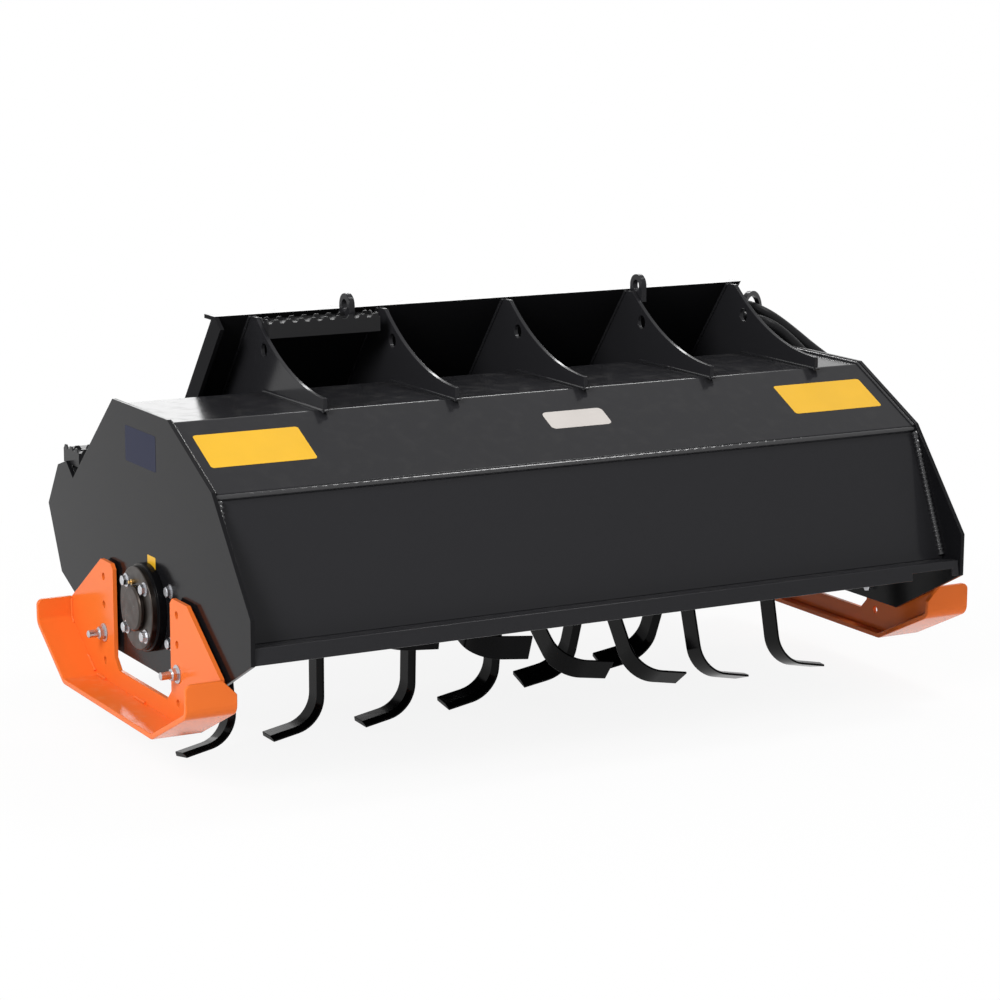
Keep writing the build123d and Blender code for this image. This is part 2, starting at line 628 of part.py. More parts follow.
# ---------------------------------------------------------------- hoses
# Corners of each hose from its elbow over the motor's port, over the side plate, through the guide and down
# behind; x is measured from the right side plate's outer face.
FRONT_CORNERS = [
    (106.0, 362.0, 400.0), (59.5, 418.0, 440.0), (-0.5, 422.6, 496.2), (-38.5, 440.0, 524.0), (-68.5, 500.0, 530.0),
    (-70.5, 590.0, 470.0), (-70.5, 712.0, 354.0), (-70.5, 803.0, 190.0), (-68.5, 828.0, -4.0),
]
REAR_CORNERS = [
    (142.0, 370.0, 400.0), (91.5, 428.0, 446.0), (23.5, 458.0, 508.0), (-24.5, 468.0, 540.0), (-52.5, 530.0, 556.0),
    (-52.5, 620.0, 480.0), (-36.5, 730.0, 330.0), (-30.5, 800.0, 190.0), (-27.5, 830.0, -24.0),
]


def placed(corners):
    """Hose corners in the housing frame."""
    return [Vector(OUTER_X + out, y, z) for out, y, z in corners]


def hose_start(corners):
    """Where a hose leaves its fitting."""
    elbow, first = placed(corners)[:2]
    return elbow + (first - elbow).normalized() * FERRULE_LENGTH


def hose_fittings():
    """Mitred elbows with crimped ferrules between the motor's ports and the hoses."""
    pieces = []
    for corners in (FRONT_CORNERS, REAR_CORNERS):
        elbow = placed(corners)[0]
        port_top = Vector(elbow.X, elbow.Y, MOTOR_Z + MOTOR_R + PORT_H)
        path = Polyline(port_top, elbow, hose_start(corners))
        pieces.append(sweep(Plane(port_top) * Circle(FERRULE_R), path=path, transition=Transition.RIGHT))
    return pieces


def hose(corners):
    """Tube along straight runs joined by the largest tangent arcs that fit."""
    points = [hose_start(corners)] + placed(corners)[1:]
    radii = []
    for a, b, c in zip(points, points[1:], points[2:]):
        turn = radians((b - a).get_angle(c - b))
        shorter = min((b - a).length, (c - b).length)
        radii.append(0.45 * shorter * cos(turn / 2) / sin(turn / 2))
    path = FilletPolyline(*points, radius=radii)
    section = Plane(path @ 0, z_dir=path % 0) * RegularPolygon(HOSE_R, HOSE_SIDES)
    tube = sweep(section, path=path)
    print("hose", round(path.length), "mm, tightest bend", round(min(radii)), "volume ratio",
          round(tube.volume / (path.length * section.area), 4))
    return tube


def hose_coupling(corners):
    """Quick coupling on a hose's free end."""
    before, end = placed(corners)[-2:]
    return rod(COUPLING_R, COUPLING_LENGTH, end, (end - before).normalized())


def hose_guide():
    """Ring beside the coupler's upper right corner that carries the hoses, on a stem welded to the last gusset."""
    flat = Circle(GUIDE_R + GUIDE_ROD_R) - Circle(GUIDE_R - GUIDE_ROD_R)
    ring = extrude(Plane.XZ * flat, amount=GUIDE_ROD_R, both=True)
    ring = Pos(GUIDE_X, GUIDE_Y, GUIDE_Z) * Rot(Z=GUIDE_TURN) * ring
    near_y = GUIDE_Y - GUIDE_R * sin(radians(GUIDE_TURN))
    length = GUIDE_FROM_GUSSET - GUIDE_R * cos(radians(GUIDE_TURN))
    return ring + rod(GUIDE_STEM_R, length, (GUIDE_X - GUIDE_FROM_GUSSET, near_y, GUIDE_Z), (1, 0, 0))


# ---------------------------------------------------------------- assembly
origin = (
    (COUPLER_LEFT_X + COUPLER_RIGHT_X) / 2,
    (ridge[0] + foot[0]) / 2 + outward[0] * COUPLER_T,
    (ridge[1] + foot[1]) / 2 + outward[1] * COUPLER_T,
)

nodes = {
    "side_plate_left": side_plate(),
    "side_plate_right": mirrored(side_plate()),
    "hood_top": hood_sheet(0, 2),
    "rear_upper_panel": hood_sheet(2, 3),
    "rear_beam": hood_sheet(3, 6),
    "rear_lower_panel": hood_sheet(6, 8),
    "front_panel": front_panel(),
    "front_edge_angle": front_edge_angle(),
    "coupler_plate": coupler_plate(),
    "upper_step": upper_step(),
    "lower_step": lower_step(),
    "skid_plate_left": skid_plate(),
    "skid_plate_right": mirrored(skid_plate()),
    "skid_runner_left": skid_runner(),
    "skid_runner_right": mirrored(skid_runner()),
    "skid_bolts_left": skid_bolts(),
    "skid_bolts_right": [mirrored(bolt) for bolt in skid_bolts()],
    "rotor_shaft": rotor_shaft(),
    "tines_left_hand": tine_set(-1),
    "tines_right_hand": tine_set(1),
    "bearing_housing": bearing_housing(),
    "bearing_cap": bearing_cap(),
    "bearing_bolts": bearing_bolts(),
    "chain_case": chain_case(),
    "chain_cover": chain_cover(),
    "hydraulic_motor": hydraulic_motor(),
    "hose_fittings": hose_fittings(),
    "hose_guide": hose_guide(),
    "hose_front": hose(FRONT_CORNERS),
    "hose_rear": hose(REAR_CORNERS),
    "hose_front_coupling": hose_coupling(FRONT_CORNERS),
    "hose_rear_coupling": hose_coupling(REAR_CORNERS),
}
for number, x in enumerate(GUSSET_X, start=1):
    nodes[f"gusset_{number}"] = gusset(x)
for side, x in zip(("left", "right"), EYE_X):
    nodes[f"lifting_eye_{side}"] = lifting_eye(x)

for name, shape in nodes.items():
    solids = shape if isinstance(shape, list) else [shape]
    moved = [Pos(*(-value for value in origin)) * solid for solid in solids]
    whole = moved[0] if len(moved) == 1 else Compound(children=moved)
    export_step(whole, f"parts/{name}.step")
print("origin in the housing frame", [round(value, 3) for value in origin])
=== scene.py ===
# %% [markdown]
# # A rotary tiller, dressed for its portrait
# The folded steel hood, its skids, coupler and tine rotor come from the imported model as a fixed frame. This lesson
# gives them rounded edges, gloss paint, weld beads, bolts, blank labels and hoses, and sets up a plain studio round
# them. The frame's own meshes are never changed: what needs a finer shape gets a copy that stands in its place.

# %% Load the frame
import bmesh
import bpy
import json
from math import cos, pi, radians, sin
from mathutils import Matrix, Vector


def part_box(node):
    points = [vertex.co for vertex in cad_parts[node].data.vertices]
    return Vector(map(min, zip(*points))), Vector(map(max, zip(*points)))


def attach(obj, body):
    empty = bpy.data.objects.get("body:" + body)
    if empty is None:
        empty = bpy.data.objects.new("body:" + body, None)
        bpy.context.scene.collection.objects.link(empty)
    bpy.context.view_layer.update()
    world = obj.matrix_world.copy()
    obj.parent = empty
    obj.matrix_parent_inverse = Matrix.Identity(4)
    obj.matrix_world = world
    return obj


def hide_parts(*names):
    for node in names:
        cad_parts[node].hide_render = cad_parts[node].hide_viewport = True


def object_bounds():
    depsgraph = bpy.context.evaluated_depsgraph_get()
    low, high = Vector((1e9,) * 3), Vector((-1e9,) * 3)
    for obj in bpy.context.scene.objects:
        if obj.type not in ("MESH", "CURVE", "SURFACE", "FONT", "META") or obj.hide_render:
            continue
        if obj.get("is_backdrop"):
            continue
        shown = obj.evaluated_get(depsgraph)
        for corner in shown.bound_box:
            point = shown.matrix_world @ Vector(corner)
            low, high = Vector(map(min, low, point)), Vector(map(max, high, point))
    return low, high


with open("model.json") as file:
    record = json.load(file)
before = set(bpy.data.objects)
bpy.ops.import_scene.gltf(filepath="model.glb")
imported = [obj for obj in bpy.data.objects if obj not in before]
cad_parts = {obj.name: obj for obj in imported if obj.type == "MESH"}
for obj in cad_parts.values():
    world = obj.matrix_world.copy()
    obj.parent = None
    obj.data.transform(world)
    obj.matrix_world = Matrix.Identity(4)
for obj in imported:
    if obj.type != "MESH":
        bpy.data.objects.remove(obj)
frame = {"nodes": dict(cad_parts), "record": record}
cad_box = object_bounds()
scene = bpy.context.scene
print("CAD box", [tuple(round(v, 3) for v in corner) for corner in cad_box])

# %% [markdown]
# In Blender an object only holds a place. Its data, such as a mesh, a camera or a lamp, holds the rest. Making one
# takes the same two calls every time, so they are written once, here.

# %% A new object


def new_piece(name, data):
    """An object that holds some data, linked into the scene at the origin."""
    piece = bpy.data.objects.new(name, data)
    scene.collection.objects.link(piece)
    return piece


print(len(frame["nodes"]), "nodes in the frame")

# %% [markdown]
# The camera is a long lens well back from the machine, a little above it and to the left of its front. It is aimed
# by a viewing direction rather than a target, so its place and its aim are two separate sizes.

# %% Camera
CAMERA_AT = Vector((-2.7885, -5.2550, 0.9415))
CAMERA_LOOK = Vector((0.4739, 0.8585, -0.1959))
CAMERA_ROLL = radians(0.174)
CAMERA_LENS = 106.1
CAMERA_FAR = 100.0


def aimed(place, direction):
    """A transform that stands at a place and looks along a direction, as cameras and lamps do."""
    return Matrix.Translation(place) @ Vector(direction).to_track_quat("-Z", "Y").to_matrix().to_4x4()


camera = new_piece("camera", bpy.data.cameras.new("camera"))
camera.data.lens = CAMERA_LENS
camera.data.clip_end = CAMERA_FAR
camera.matrix_world = aimed(CAMERA_AT, CAMERA_LOOK) @ Matrix.Rotation(CAMERA_ROLL, 4, "Z")
scene.camera = camera
print("camera", tuple(round(v, 2) for v in camera.location))

# %% [markdown]
# A fabricator measures the housing in millimetres from its lowest front corner, with x from the middle. The frame's
# origin is on the coupler instead. One small function turns a fabricator's point into a point of the frame, so every
# size below can be read off the machine.

# %% From the housing's millimetres to the frame
MM = 0.001
ROW_ORIGIN = Vector((66.5, 613.949, 421.51))        # where the frame's origin lies in the housing's millimetres


def row(x, y, z):
    """A point of the housing, in its own millimetres, as metres in the frame."""
    return (Vector((x, y, z)) - ROW_ORIGIN) * MM


PLATE_OUT = -(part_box("side_plate_left")[0].x / MM + ROW_ORIGIN.x)      # a side plate's outer face, from the middle
PLATE_IN = -(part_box("side_plate_left")[1].x / MM + ROW_ORIGIN.x)
print("side plates from", round(PLATE_IN, 1), "to", round(PLATE_OUT, 1), "mm")

# %% [markdown]
# ## Finishes
# Every finish is a small tree of shader nodes. Adding a node, setting what stays unlinked, drawing the links and
# doing a sum are the same each time, so small helpers do them. Another starts a node group: an effect that several
# finishes share is a group of its own, built once and placed in each finish with its own values.

# %% Helpers for node trees


def put(tree, kind, inputs=None, **properties):
    """A new node in a tree, with its properties set first and then its unlinked inputs."""
    node = tree.nodes.new(kind)
    for title, value in properties.items():
        setattr(node, title, value)
    for title, value in (inputs or {}).items():
        node.inputs[title].default_value = value
    return node


def wire(tree, *links):
    """Draws links in a tree, each a pair of an output and an input."""
    for start, end in links:
        tree.links.new(start, end)


def maths(tree, operation, *values):
    """The output of a new Math node whose inputs are sockets or plain numbers."""
    node = put(tree, "ShaderNodeMath", operation=operation)
    for socket, value in zip(node.inputs, values):
        if isinstance(value, float):
            socket.default_value = value
        else:
            wire(tree, (value, socket))
    return node.outputs[0]


def start_group(name, inputs, outputs):
    """A shader node group with float inputs (name: default), outputs (name: socket type), and its two end nodes."""
    group = bpy.data.node_groups.new(name, "ShaderNodeTree")
    for title, default in inputs.items():
        group.interface.new_socket(title, in_out="INPUT", socket_type="NodeSocketFloat").default_value = default
    for title, kind in outputs.items():
        group.interface.new_socket(title, in_out="OUTPUT", socket_type=kind)
    return group, put(group, "NodeGroupInput"), put(group, "NodeGroupOutput")


def start_finish(name):
    """A new material with its node tree and its Principled shader."""
    material = bpy.data.materials.new(name)
    material.use_nodes = True
    return material, material.node_tree, material.node_tree.nodes["Principled BSDF"]


print("node groups before any is made:", len(bpy.data.node_groups))

# %% [markdown]
# The first shared effect is the fine ripple that sprayed paint dries with, called orange peel. It is a noise pattern
# on object coordinates, turned into a bump, so it neither stretches over long plates nor needs an unwrapped surface.

# %% Orange peel
PEEL_HEIGHT = 0.0004

peel, given, result = start_group("orange_peel", {"Scale": 240.0, "Depth": 0.05}, {"Normal": "NodeSocketVector"})
place = put(peel, "ShaderNodeTexCoord")
ripple = put(peel, "ShaderNodeTexNoise")
bump = put(peel, "ShaderNodeBump", {"Distance": PEEL_HEIGHT})
wire(peel,
     (place.outputs["Object"], ripple.inputs["Vector"]),
     (given.outputs["Scale"], ripple.inputs["Scale"]),
     (given.outputs["Depth"], bump.inputs["Strength"]),
     (ripple.outputs["Fac"], bump.inputs["Height"]),
     (bump.outputs["Normal"], result.inputs["Normal"]))
print(peel.name, [socket.name for socket in peel.interface.items_tree])

# %% [markdown]
# The second is dust. It settles on faces that look up and never evenly, so its mask is how far the normal points up,
# times a slow noise whose middle values are cut into soft patches. It is kept faint: this machine is new, and the
# dust only takes the very last of the gloss away.

# %% Dust
dust, given, result = start_group("dust_film", {"Scale": 34.0, "Amount": 0.25}, {"Mask": "NodeSocketFloat"})
place = put(dust, "ShaderNodeTexCoord")
cloud = put(dust, "ShaderNodeTexNoise", {"Detail": 6.0})
patches = put(dust, "ShaderNodeMapRange", {"From Min": 0.45, "From Max": 0.75}, interpolation_type="SMOOTHSTEP")
facing = put(dust, "ShaderNodeNewGeometry")
split = put(dust, "ShaderNodeSeparateXYZ")
upward = put(dust, "ShaderNodeMapRange", {"From Min": 0.85})
settled = maths(dust, "MULTIPLY", upward.outputs["Result"], patches.outputs["Result"])
wire(dust,
     (place.outputs["Object"], cloud.inputs["Vector"]),
     (given.outputs["Scale"], cloud.inputs["Scale"]),
     (cloud.outputs["Fac"], patches.inputs["Value"]),
     (facing.outputs["Normal"], split.inputs["Vector"]),
     (split.outputs["Z"], upward.inputs["Value"]),
     (maths(dust, "MULTIPLY", settled, given.outputs["Amount"]), result.inputs["Mask"]))
print(dust.name, [socket.name for socket in dust.interface.items_tree])

# %% [markdown]
# Every colour on the machine is a sprayed gloss paint, so one function mixes them all: a colour, a paler tone where
# dust lies, a low roughness that dust raises, and the peel. The charcoal is almost black as written. What shows as
# dark grey on the machine is mostly the studio, mirrored in the gloss, and a low index of refraction keeps that
# mirror image faint.

# %% Gloss paint
PAINT_INDEX = 1.2
DUST_DULLS = 0.25        # how much roughness a full film of dust adds


def gloss_paint(name, colour, dusty_colour, roughness, dust_amount, peel_depth, index=PAINT_INDEX):
    """A sprayed gloss paint."""
    material, tree, shader = start_finish(name)
    shader.inputs["IOR"].default_value = index
    film = put(tree, "ShaderNodeGroup", node_tree=dust)
    film.inputs["Amount"].default_value = dust_amount
    skin = put(tree, "ShaderNodeGroup", node_tree=peel)
    skin.inputs["Depth"].default_value = peel_depth
    tone = put(tree, "ShaderNodeMix", {"A": (*colour, 1), "B": (*dusty_colour, 1)}, data_type="RGBA")
    matt = put(tree, "ShaderNodeMapRange", {"To Min": roughness, "To Max": roughness + DUST_DULLS})
    wire(tree,
         (film.outputs["Mask"], tone.inputs["Factor"]),
         (film.outputs["Mask"], matt.inputs["Value"]),
         (tone.outputs["Result"], shader.inputs["Base Color"]),
         (matt.outputs["Result"], shader.inputs["Roughness"]),
         (skin.outputs["Normal"], shader.inputs["Normal"]))
    return material


charcoal = gloss_paint("charcoal_paint", (0.020, 0.020, 0.0222), (0.085, 0.082, 0.078), 0.15, 0.22, 0.05)
orange = gloss_paint("orange_paint", (0.86, 0.175, 0.028), (0.80, 0.30, 0.13), 0.16, 0.30, 0.05)
side_paint = gloss_paint("side_paint", (0.007, 0.007, 0.008), (0.06, 0.06, 0.058), 0.15, 0.4, 0.05, 1.18)
black = gloss_paint("black_paint", (0.0035, 0.0035, 0.004), (0.04, 0.04, 0.04), 0.14, 0.3, 0.08, 1.15)
tread_paint = gloss_paint("step_paint", (0.018, 0.018, 0.019), (0.08, 0.08, 0.08), 0.28, 0.5, 0.20)
# Painted shade: the coupler's front gets a darker charcoal for the shade that the gussets and the deck cast on it.
coupler_painted_shade = gloss_paint("coupler_painted_shade", (0.011, 0.011, 0.012), (0.03, 0.03, 0.03), 0.5, 0.2, 0.12, 1.07)
print("paints", [paint.name for paint in (charcoal, orange, side_paint, black, tread_paint, coupler_painted_shade)])

# %% [markdown]
# Hose rubber and painted welds come from the same function. A hose has a fine woven print under its skin, close
# enough to a deep peel from this distance, and little gloss. A weld has rough metal under its paint: its peel is deep
# too, but the charcoal one keeps a hard gloss, so that the bead sparkles along its ripples.

# %% Rubber and painted welds
rubber = gloss_paint("hose_rubber", (0.012, 0.012, 0.013), (0.05, 0.05, 0.05), 0.38, 0.4, 0.25)
weld_paint = gloss_paint("painted_weld", (0.022, 0.022, 0.024), (0.09, 0.09, 0.09), 0.08, 0.4, 0.30, 1.5)
orange_weld = gloss_paint("orange_weld", (0.84, 0.165, 0.03), (0.8, 0.3, 0.13), 0.14, 0.30, 0.30)
print("more paints", [paint.name for paint in (rubber, weld_paint, orange_weld)])

# %% [markdown]
# Bolts are zinc plated, the grease nipple is brass and the bearing's disc is bare steel. All three are metals with a
# slightly patchy polish, so a noise drives both the roughness and a small drift of the colour.

# %% Metals
DRIFT = 0.8        # the darkest patches, as a share of the colour


def patchy_metal(name, colour, low, high, scale):
    """A bare or plated metal whose polish varies between two roughnesses."""
    material, tree, shader = start_finish(name)
    shader.inputs["Metallic"].default_value = 1.0
    place = put(tree, "ShaderNodeTexCoord")
    patch = put(tree, "ShaderNodeTexNoise", {"Scale": scale, "Detail": 4.0})
    polish = put(tree, "ShaderNodeMapRange", {"From Min": 0.3, "From Max": 0.7, "To Min": low, "To Max": high})
    tone = put(tree, "ShaderNodeMix", {"A": (*colour, 1), "B": (*(DRIFT * c for c in colour), 1)}, data_type="RGBA")
    wire(tree,
         (place.outputs["Object"], patch.inputs["Vector"]),
         (patch.outputs["Fac"], polish.inputs["Value"]),
         (patch.outputs["Fac"], tone.inputs["Factor"]),
         (polish.outputs["Result"], shader.inputs["Roughness"]),
         (tone.outputs["Result"], shader.inputs["Base Color"]))
    return material


zinc = patchy_metal("zinc", (0.62, 0.63, 0.66), 0.22, 0.42, 180.0)
brass = patchy_metal("brass", (0.78, 0.52, 0.2), 0.2, 0.35, 120.0)
turned_steel = patchy_metal("hub_steel", (0.062, 0.052, 0.046), 0.26, 0.42, 60.0)
print("metals", zinc.name, brass.name, turned_steel.name)

# %% [markdown]
# The disc is turned on a lathe, which leaves fine rings round the rotor's axis. A Wave texture draws rings, once a
# Mapping node has put its centre on the axis.

# %% Lathe rings on the disc
AXLE_Y, AXLE_Z = 247, 118
AXLE = row(0, AXLE_Y, AXLE_Z)
RING_SCALE = 160.0

tree = turned_steel.node_tree
centred = put(tree, "ShaderNodeMapping", {"Location": -AXLE})
rings = put(tree, "ShaderNodeTexWave", {"Scale": RING_SCALE}, wave_type="RINGS", rings_direction="X")
groove = put(tree, "ShaderNodeBump", {"Strength": 0.12, "Distance": PEEL_HEIGHT})
wire(tree,
     (tree.nodes["Texture Coordinate"].outputs["Object"], centred.inputs["Vector"]),
     (centred.outputs["Vector"], rings.inputs["Vector"]),
     (rings.outputs["Fac"], groove.inputs["Height"]),
     (groove.outputs["Normal"], tree.nodes["Principled BSDF"].inputs["Normal"]))
print("axle at", tuple(round(v, 4) for v in AXLE))

# %% [markdown]
# The frame's record names a finish for each node and the body that each node belongs to. Three tables look both up.

# %% Which finish and which body
BY_SLOT = {
    "charcoal_paint": charcoal, "orange_paint": orange, "black_paint": black, "zinc": zinc,
    "step_paint": tread_paint, "hub_steel": turned_steel, "hose_rubber": rubber,
}
SLOT_OF = {subpart["node"]: subpart["material_slot"] for subpart in frame["record"]["subparts"]}
BODY_OF = {node: body for body, members in frame["record"]["behaviour"]["bodies"].items() for node in members}
print(len(SLOT_OF), "nodes take their finish from", len(BY_SLOT), "slots")

# %% [markdown]
# ## Rounded edges
# No cut or folded steel edge is truly sharp, and it is the small rounding that catches a bright line of light. Each
# plate is copied from the frame, its loose triangles are merged back into flat faces, and a Bevel modifier rounds
# every edge sharper than a set angle. A bevel is chosen over a normal trick because the real thing changes the
# outline too.

# %% A rounded copy of a node
EDGE_ANGLE = radians(28)
SAME_PLANE = radians(0.5)
SAME_POINT = 1e-5


def plain_mesh(piece):
    """Turns what a piece's modifiers make into its own plain mesh, and takes the modifiers away."""
    bpy.context.view_layer.update()
    made = bpy.data.meshes.new_from_object(piece.evaluated_get(bpy.context.evaluated_depsgraph_get()))
    piece.modifiers.clear()
    piece.data = made
    return piece


def shade(mesh, angle, material):
    """Shades a mesh smoothly, except over edges sharper than an angle, and gives it its one material."""
    for face in mesh.polygons:
        face.use_smooth = True
    mesh.set_sharp_from_angle(angle=angle)
    mesh.materials.clear()
    mesh.materials.append(material)


def rounded(node, width, steps=2, angle=EDGE_ANGLE):
    """A copy of a CAD node with its edges sharper than an angle rounded, standing in the node's place."""
    mesh = frame["nodes"][node].data.copy()
    work = bmesh.new()
    work.from_mesh(mesh)
    bmesh.ops.remove_doubles(work, verts=work.verts, dist=SAME_POINT)
    bmesh.ops.dissolve_limit(work, angle_limit=SAME_PLANE, verts=work.verts, edges=work.edges)
    work.to_mesh(mesh)
    work.free()
    shade(mesh, angle, BY_SLOT[SLOT_OF[node]])
    piece = new_piece(f"{node}_finished", mesh)
    bevel = piece.modifiers.new("edges", "BEVEL")
    bevel.width = width
    bevel.segments = steps
    bevel.limit_method = "ANGLE"
    bevel.angle_limit = angle
    bevel.harden_normals = True
    bevel.use_clamp_overlap = True
    plain_mesh(piece)
    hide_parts(node)
    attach(piece, BODY_OF[node])
    return piece


print("edges sharper than", round(EDGE_ANGLE * 180 / pi), "degrees are rounded")

# %% [markdown]
# Thick castings and beams have the softest edges, thin sheet the sharpest. The hood is bent, not cut, so it gets a
# wider radius in more steps, and a smaller angle, because its shallowest fold is only 27 degrees.

# %% Which nodes are rounded, and by how much
EDGES = {
    0.0012: ["side_plate_left", "side_plate_right", "front_panel", "coupler_plate", "skid_plate_left",
             "skid_plate_right", "lifting_eye_left", "lifting_eye_right"],
    0.0020: ["rear_upper_panel", "rear_beam", "rear_lower_panel", "front_edge_angle",
             "skid_runner_left", "skid_runner_right", "chain_case", "bearing_housing"],
    0.0010: ["gusset_1", "gusset_2", "gusset_3", "gusset_4", "gusset_5", "chain_cover", "tines_left_hand",
             "tines_right_hand", "hydraulic_motor", "hose_guide", "bearing_cap", "rotor_shaft"],
    0.0005: ["upper_step", "lower_step", "hose_fittings", "hose_front_coupling", "hose_rear_coupling"],
}
BEND_RADIUS, BEND_STEPS, BEND_ANGLE = 0.003, 3, radians(20)

finished = {"hood_top": rounded("hood_top", BEND_RADIUS, BEND_STEPS, BEND_ANGLE)}
for width, nodes_of_width in EDGES.items():
    for node in nodes_of_width:
        finished[node] = rounded(node, width)
print(len(finished), "rounded pieces,", sum(len(piece.data.polygons) for piece in finished.values()), "faces")

# %% [markdown]
# The side plates are sprayed with the same charcoal, but take a darker copy of it. The coupler's front lies in the
# shade of the gussets and the deck; it takes a still darker, almost matt copy, and that darkness is painted shade.

# %% Darker charcoal on the side plates, painted shade on the coupler's front
for name in ("side_plate_left", "side_plate_right"):
    finished[name].data.materials[0] = side_paint
coupler = finished["coupler_plate"]
# The coupler's faces that look to the front take the darker copy, which is painted shade.
coupler.data.materials.append(coupler_painted_shade)
for face in coupler.data.polygons:
    face.material_index = int(face.normal.y < 0)
print(coupler.name, sum(face.material_index for face in coupler.data.polygons), "matt faces")

# %% [markdown]
# The ring round the bearing's disc is given the black finish, while the disc on it is bare. Both are one node, so
# faces farther from the axle than the disc's rim get a second material.

# %% Black ring round the bearing disc
DISC_R = 0.0772

ring = finished["bearing_housing"]
ring.data.materials.append(black)
for face in ring.data.polygons:
    off = face.center - AXLE
    face.material_index = int(Vector((off.y, off.z)).length > DISC_R)
print("ring faces", sum(face.material_index for face in ring.data.polygons))

# %% [markdown]
# Two hydraulic hoses run from the motor over the right side plate, through a ring and down behind the coupler. A
# NURBS spline steered by a short list of given corners gives the even, heavy curve of a braided hose, where a
# chain of separate arcs would show its joints. The sleeve is a plain tube swept along that spline, and the same
# spline without thickness is the hose's centre line.

# %% Hoses
HOSE_D = 0.026
FERRULE_LENGTH = 34
SPLINE_STEPS, SLEEVE_STEPS = 16, 6
HOSE_CORNERS = {        # x from the right side plate's outer face, y and z in the housing; the first is the elbow
    "front": [
        (106, 362, 400), (59.5, 418, 440), (-0.5, 422.6, 496.2), (-38.5, 440, 524), (-68.5, 500, 530),
        (-70.5, 590, 470), (-70.5, 712, 354), (-70.5, 803, 190), (-68.5, 828, -4),
    ],
    "rear": [
        (142, 370, 400), (91.5, 428, 446), (23.5, 458, 508), (-24.5, 468, 540), (-52.5, 530, 556),
        (-52.5, 620, 480), (-36.5, 730, 330), (-30.5, 800, 190), (-27.5, 830, -24),
    ],
}


def hose_route(corners):
    """Control points of a hose in the frame: it starts at the end of its ferrule."""
    points = [Vector((PLATE_OUT + out, y, z)) for out, y, z in corners]
    points[0] += (points[1] - points[0]).normalized() * FERRULE_LENGTH
    return [row(*point) for point in points]


def swept_spline(name, route, depth):
    """The plain mesh of a NURBS spline along a route: a line where depth is 0, or else a tube of that radius."""
    curve = bpy.data.curves.new(name, "CURVE")
    curve.dimensions = "3D"
    curve.bevel_depth = depth
    curve.bevel_resolution = SLEEVE_STEPS
    curve.resolution_u = SPLINE_STEPS
    curve.use_fill_caps = True
    spline = curve.splines.new("NURBS")
    spline.points.add(len(route) - 1)
    for point, place in zip(spline.points, route):
        point.co = (*place, 1.0)
    spline.order_u = 3
    spline.use_endpoint_u = True
    carrier = new_piece(name, curve)
    bpy.context.view_layer.update()
    mesh = bpy.data.meshes.new_from_object(carrier.evaluated_get(bpy.context.evaluated_depsgraph_get()))
    bpy.data.objects.remove(carrier)
    return mesh


for side, corners in HOSE_CORNERS.items():
    route = hose_route(corners)
    centre_line = [point.co.copy() for point in swept_spline(f"hose_{side}_line", route, 0.0).vertices]
    hose = new_piece(f"hose_{side}_sleeve", swept_spline(f"hose_{side}_sleeve", route, HOSE_D / 2))
    hose.data.materials.clear()
    hose.data.materials.append(rubber)
    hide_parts(f"hose_{side}")
    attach(hose, "housing")

# %% [markdown]
# ## Weld beads
# The sheets are joined by fillet welds: a rope of overlapping puddles along each seam. Modelling puddles one by one
# would be slow and would repeat. A Geometry Nodes tree follows any line instead: it resamples the seam, makes the
# radius rise and drop once per puddle, adds a little noise, and sweeps a small circle along it.

# %% The weld bead tree
BEAD = {"Width": 0.0062, "Puddle": 0.0042, "Step": 0.00168, "Ripple": 0.16}        # in metres, Ripple as a share
BEAD_SIDES = 7
SPATTER_SCALE = 90.0


